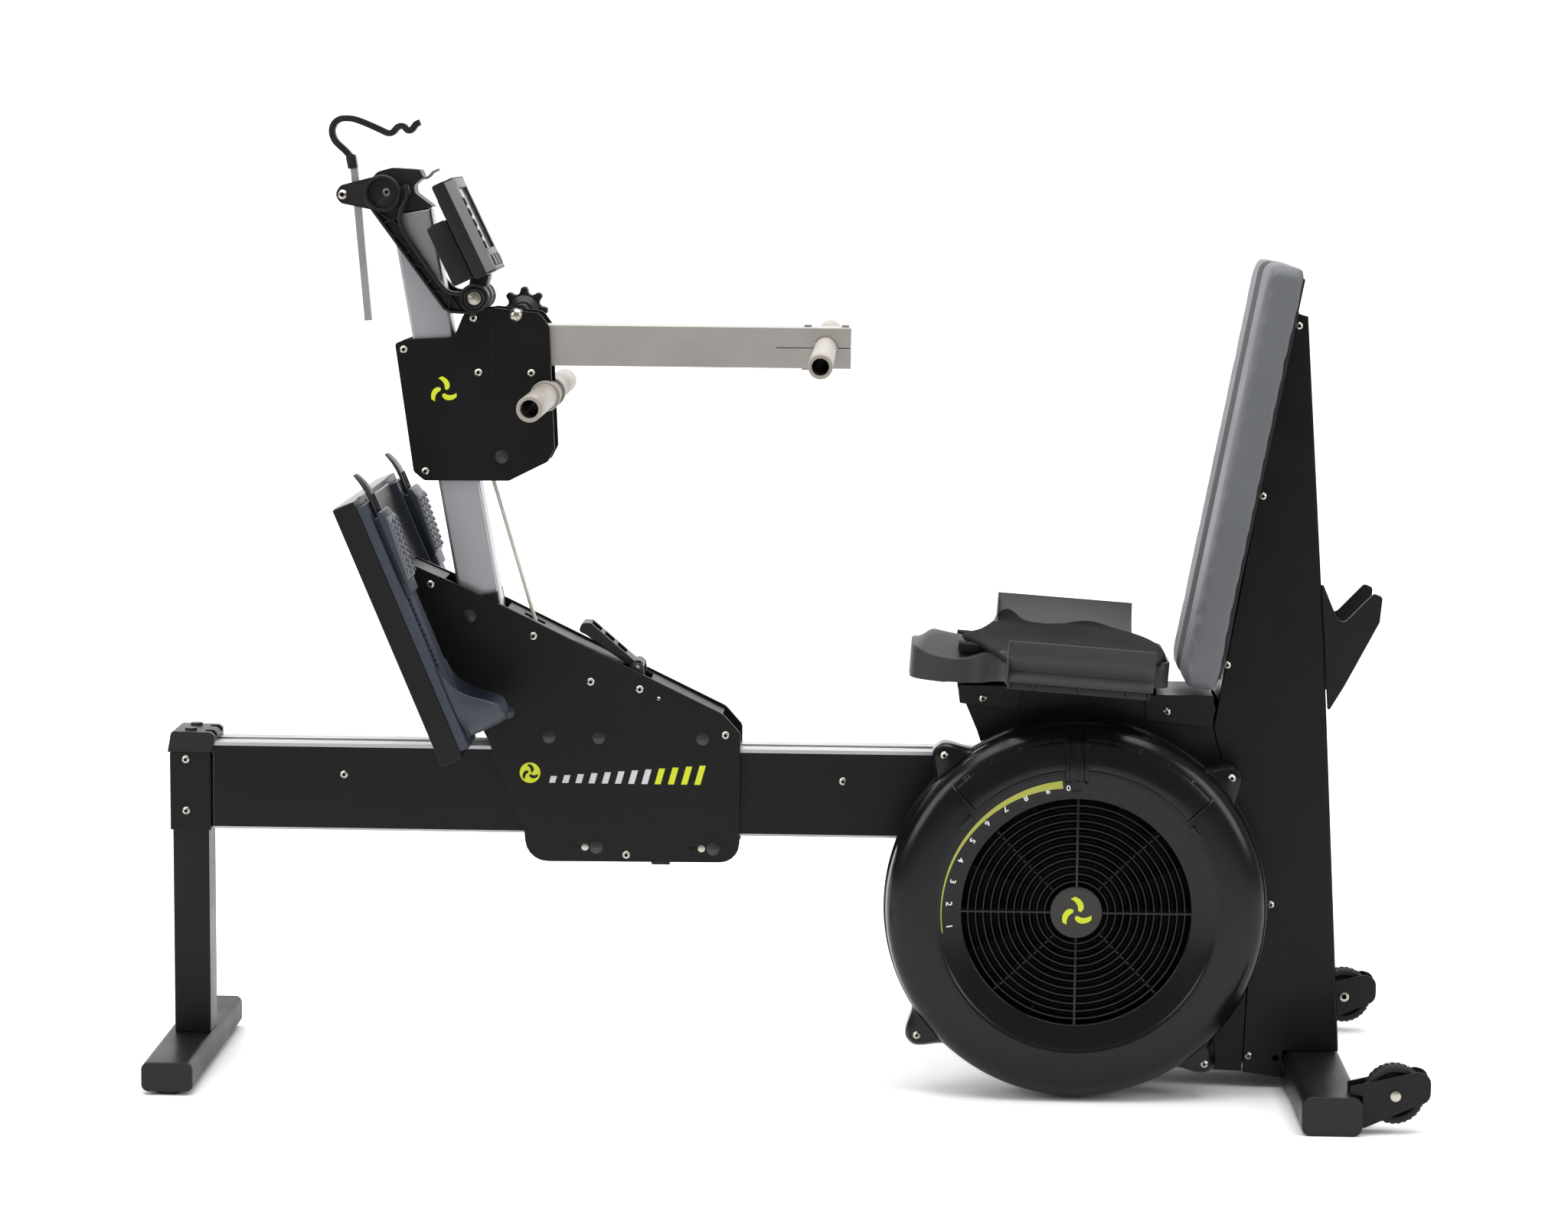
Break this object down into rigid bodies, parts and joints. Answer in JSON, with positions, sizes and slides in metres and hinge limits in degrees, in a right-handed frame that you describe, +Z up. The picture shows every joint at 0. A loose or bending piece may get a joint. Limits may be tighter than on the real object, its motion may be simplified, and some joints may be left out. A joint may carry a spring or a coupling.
{
  "type": "seated strength ergometer",
  "caption": "Seated strength machine with a rail, a sliding carriage that carries a mast, handles and footboard, a fan housing, a seat and a tall backrest.",
  "frame": {"origin": "centre of the bounding box at floor level", "axes": "+X along the rail towards the seat and tower, +Y across the machine away from the fan housing's cover, +Z up"},
  "size_m": [1.6469, 0.8, 1.2582],
  "materials": {
    "black_steel": "satin",
    "aluminium": "satin",
    "anodised_tube": "matte",
    "black_plastic": "satin",
    "housing_plastic": "gloss",
    "seat_plastic": "matte",
    "foot_plastic": "matte",
    "bezel_plastic": "satin",
    "rubber": "matte",
    "fasteners": "gloss",
    "seat_foam": "matte",
    "cushion_foam": "matte",
    "board": "matte",
    "rope_fibre": "matte"
  },
  "bodies": {
    "frame": {"front_foot": "black_steel", "foot_caps": "black_plastic", "front_leg": "black_steel", "rail_beam": "aluminium", "rail_covers": "black_steel", "rail_end_cap": "black_plastic", "frame_bolts": "fasteners", "side_panels": "black_steel", "tower_shell": "black_steel", "storage_hooks": "black_steel", "rear_foot": "black_steel", "caster_forks": "black_steel", "seat_brackets": "black_steel", "seat_shell": "seat_plastic", "seat_pad": "seat_foam", "backrest_back": "board", "backrest_cushion": "cushion_foam", "fan_case": "housing_plastic", "fan_cover": "housing_plastic", "fan_bearings": "black_steel"},
    "wheel_near": {"caster_wheel_near": "rubber"},
    "wheel_far": {"caster_wheel_far": "rubber"},
    "damper": {"damper_ring": "housing_plastic"},
    "fan": {"fan_wheel": "black_steel"},
    "carriage": {"carriage_plates": "black_steel", "carriage_fasteners": "fasteners", "carriage_core": "black_steel", "mast": "aluminium", "mast_top": "black_plastic", "foot_frame": "black_plastic", "foot_bases": "foot_plastic", "rope": "rope_fibre"},
    "roll_a": {"roller_a": "black_plastic"},
    "roll_b": {"roller_b": "black_plastic"},
    "roll_c": {"roller_c": "black_plastic"},
    "roll_d": {"roller_d": "black_plastic"},
    "roll_e": {"roller_e": "black_plastic"},
    "foot_near": {"foot_slide_near": "foot_plastic"},
    "foot_far": {"foot_slide_far": "foot_plastic"},
    "lever": {"latch_lever": "black_plastic"},
    "head": {"head_plates": "black_steel", "head_fasteners": "fasteners", "row_handle": "anodised_tube"},
    "knob": {"clamp_knob": "black_plastic"},
    "press": {"press_arm": "aluminium", "arm_clamp": "aluminium", "press_handle": "anodised_tube"},
    "mon_arm": {"monitor_link": "black_plastic"},
    "monitor": {"monitor_body": "black_plastic", "monitor_bezel": "bezel_plastic"},
    "holder": {"holder_bar": "aluminium", "holder_hook": "black_plastic"},
    "k1": {"key_1": "black_plastic"},
    "k2": {"key_2": "black_plastic"},
    "k3": {"key_3": "black_plastic"},
    "k4": {"key_4": "black_plastic"},
    "k5": {"key_5": "black_plastic"},
    "m1": {"menu_key_1": "black_plastic"},
    "m2": {"menu_key_2": "black_plastic"},
    "m3": {"menu_key_3": "black_plastic"}
  },
  "joints": [
    {"name": "caster_near_spin", "type": "hinge", "parent": "frame", "child": "wheel_near", "pos_m": [0.779, -0.2745, 0.051], "axis": [0, 1, 0], "continuous": true},
    {"name": "caster_far_spin", "type": "hinge", "parent": "frame", "child": "wheel_far", "pos_m": [0.779, 0.2745, 0.051], "axis": [0, 1, 0], "continuous": true},
    {"name": "damper_turn", "type": "hinge", "parent": "frame", "child": "damper", "pos_m": [0.3815, -0.163, 0.25], "axis": [0, 1, 0], "range_deg": [-98, 0]},
    {"name": "fan_spin", "type": "hinge", "parent": "frame", "child": "fan", "pos_m": [0.3815, -0.1, 0.25], "axis": [0, 1, 0], "continuous": true},
    {"name": "carriage_slide", "type": "slide", "parent": "frame", "child": "carriage", "axis": [1, 0, 0], "range_m": [-0.28, 0.14]},
    {"name": "roller_a_spin", "type": "hinge", "parent": "carriage", "child": "roll_a", "pos_m": [-0.309, 0, 0.4518], "axis": [0, 1, 0], "range_deg": [-1300, 700]},
    {"name": "roller_b_spin", "type": "hinge", "parent": "carriage", "child": "roll_b", "pos_m": [-0.2435, 0, 0.4518], "axis": [0, 1, 0], "range_deg": [-1300, 700]},
    {"name": "roller_c_spin", "type": "hinge", "parent": "carriage", "child": "roll_c", "pos_m": [-0.1069, 0, 0.4518], "axis": [0, 1, 0], "range_deg": [-1300, 700]},
    {"name": "roller_d_spin", "type": "hinge", "parent": "carriage", "child": "roll_d", "pos_m": [-0.2462, 0, 0.3055], "axis": [0, 1, 0], "range_deg": [-600, 1100]},
    {"name": "roller_e_spin", "type": "hinge", "parent": "carriage", "child": "roll_e", "pos_m": [-0.0924, 0, 0.3055], "axis": [0, 1, 0], "range_deg": [-600, 1100]},
    {"name": "foot_near_slide", "type": "slide", "parent": "carriage", "child": "foot_near", "axis": [-0.3891, 0, 0.9212], "range_m": [-0.02, 0.03]},
    {"name": "foot_far_slide", "type": "slide", "parent": "carriage", "child": "foot_far", "axis": [-0.3891, 0, 0.9212], "range_m": [-0.02, 0.03]},
    {"name": "lever_lift", "type": "hinge", "parent": "carriage", "child": "lever", "pos_m": [-0.194, 0, 0.545], "axis": [0, 1, 0], "range_deg": [0, 40]},
    {"name": "head_slide", "type": "slide", "parent": "carriage", "child": "head", "axis": [-0.1754, 0, 0.9845], "range_m": [-0.1, 0], "deforming": ["rope"]},
    {"name": "knob_turn", "type": "hinge", "parent": "head", "child": "knob", "pos_m": [-0.3537, 0.085, 1.004], "axis": [0, 1, 0], "range_deg": [-90, 90]},
    {"name": "press_slide", "type": "slide", "parent": "head", "child": "press", "axis": [1, 0, 0], "range_m": [0, 0.08]},
    {"name": "monitor_arm_swing", "type": "hinge", "parent": "carriage", "child": "mon_arm", "pos_m": [-0.526, 0, 1.16], "axis": [0, 1, 0], "range_deg": [-10, 0]},
    {"name": "monitor_tilt", "type": "hinge", "parent": "mon_arm", "child": "monitor", "pos_m": [-0.4067, 0, 1.0265], "axis": [0, 1, 0], "range_deg": [0, 30]},
    {"name": "holder_slide", "type": "slide", "parent": "carriage", "child": "holder", "axis": [-0.0896, 0, 0.996], "range_m": [-0.015, 0.11]},
    {"name": "key_1_press", "type": "slide", "parent": "monitor", "child": "k1", "axis": [-0.9026, 0, -0.4305], "range_m": [0, 0.0015], "stiffness_N_per_m": 400},
    {"name": "key_2_press", "type": "slide", "parent": "monitor", "child": "k2", "axis": [-0.9026, 0, -0.4305], "range_m": [0, 0.0015], "stiffness_N_per_m": 400},
    {"name": "key_3_press", "type": "slide", "parent": "monitor", "child": "k3", "axis": [-0.9026, 0, -0.4305], "range_m": [0, 0.0015], "stiffness_N_per_m": 400},
    {"name": "key_4_press", "type": "slide", "parent": "monitor", "child": "k4", "axis": [-0.9026, 0, -0.4305], "range_m": [0, 0.0015], "stiffness_N_per_m": 400},
    {"name": "key_5_press", "type": "slide", "parent": "monitor", "child": "k5", "axis": [-0.9026, 0, -0.4305], "range_m": [0, 0.0015], "stiffness_N_per_m": 400},
    {"name": "menu_key_1_press", "type": "slide", "parent": "monitor", "child": "m1", "axis": [-0.9026, 0, -0.4305], "range_m": [0, 0.0015], "stiffness_N_per_m": 400},
    {"name": "menu_key_2_press", "type": "slide", "parent": "monitor", "child": "m2", "axis": [-0.9026, 0, -0.4305], "range_m": [0, 0.0015], "stiffness_N_per_m": 400},
    {"name": "menu_key_3_press", "type": "slide", "parent": "monitor", "child": "m3", "axis": [-0.9026, 0, -0.4305], "range_m": [0, 0.0015], "stiffness_N_per_m": 400}
  ],
  "couplings": [
    {"joint": "roller_a_spin", "follows": "carriage_slide", "rad_per_m": 74.627},
    {"joint": "roller_b_spin", "follows": "carriage_slide", "rad_per_m": 74.627},
    {"joint": "roller_c_spin", "follows": "carriage_slide", "rad_per_m": 74.627},
    {"joint": "roller_d_spin", "follows": "carriage_slide", "rad_per_m": -62.112},
    {"joint": "roller_e_spin", "follows": "carriage_slide", "rad_per_m": -62.112}
  ]
}
